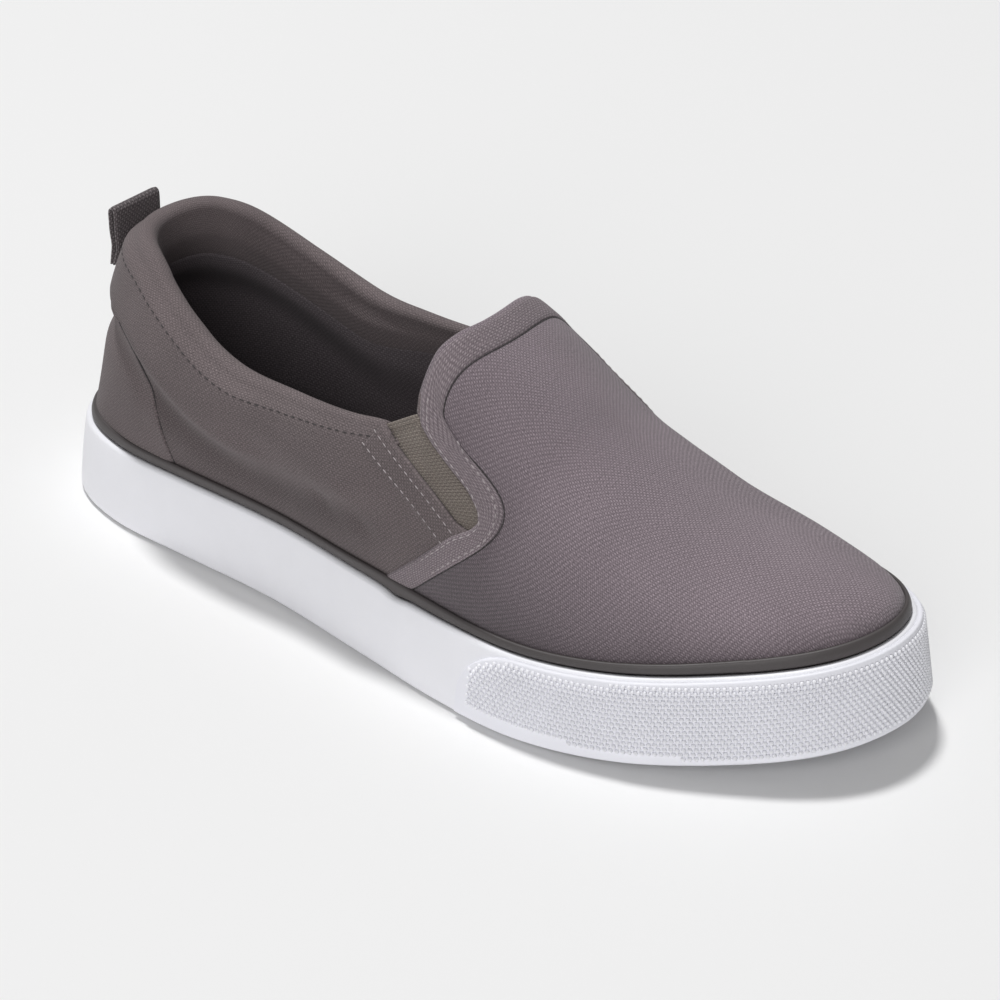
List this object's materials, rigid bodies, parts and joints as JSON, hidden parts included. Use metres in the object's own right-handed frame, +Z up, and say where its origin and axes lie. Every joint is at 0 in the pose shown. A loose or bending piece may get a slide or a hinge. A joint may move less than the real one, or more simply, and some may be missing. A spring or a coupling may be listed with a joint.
{
  "type": "slip-on sneaker",
  "caption": "Low slip-on sneaker in grey canvas with elastic side gores, padded collar, heel pull loop and a white vulcanised rubber sole with a dark stripe; right shoe",
  "frame": {"origin": "on the floor, under the middle of the shoe's bounding box", "axes": "+X points to the toe, +Y to the inner side of the foot, +Z up"},
  "size_m": [0.2624, 0.0966, 0.0908],
  "materials": {
    "canvas": "woven cotton canvas, matt, fine diagonal texture",
    "elastic": "ribbed elastic webbing, matt",
    "webbing": "woven tape, matt",
    "white_rubber": "smooth vulcanised rubber, satin",
    "dark_rubber": "smooth vulcanised rubber, slightly glossy",
    "lining_cloth": "dark woven lining, matt"
  },
  "bodies": {
    "root": {"outsole": "white_rubber", "insole": "lining_cloth", "foxing": "white_rubber", "toe_bumper": "white_rubber", "foxing_stripe": "dark_rubber", "upper": "canvas", "gore_outer": "elastic", "gore_inner": "elastic", "throat_facing": "canvas", "heel_counter": "canvas", "heel_loop": "webbing"}
  },
  "joints": []
}
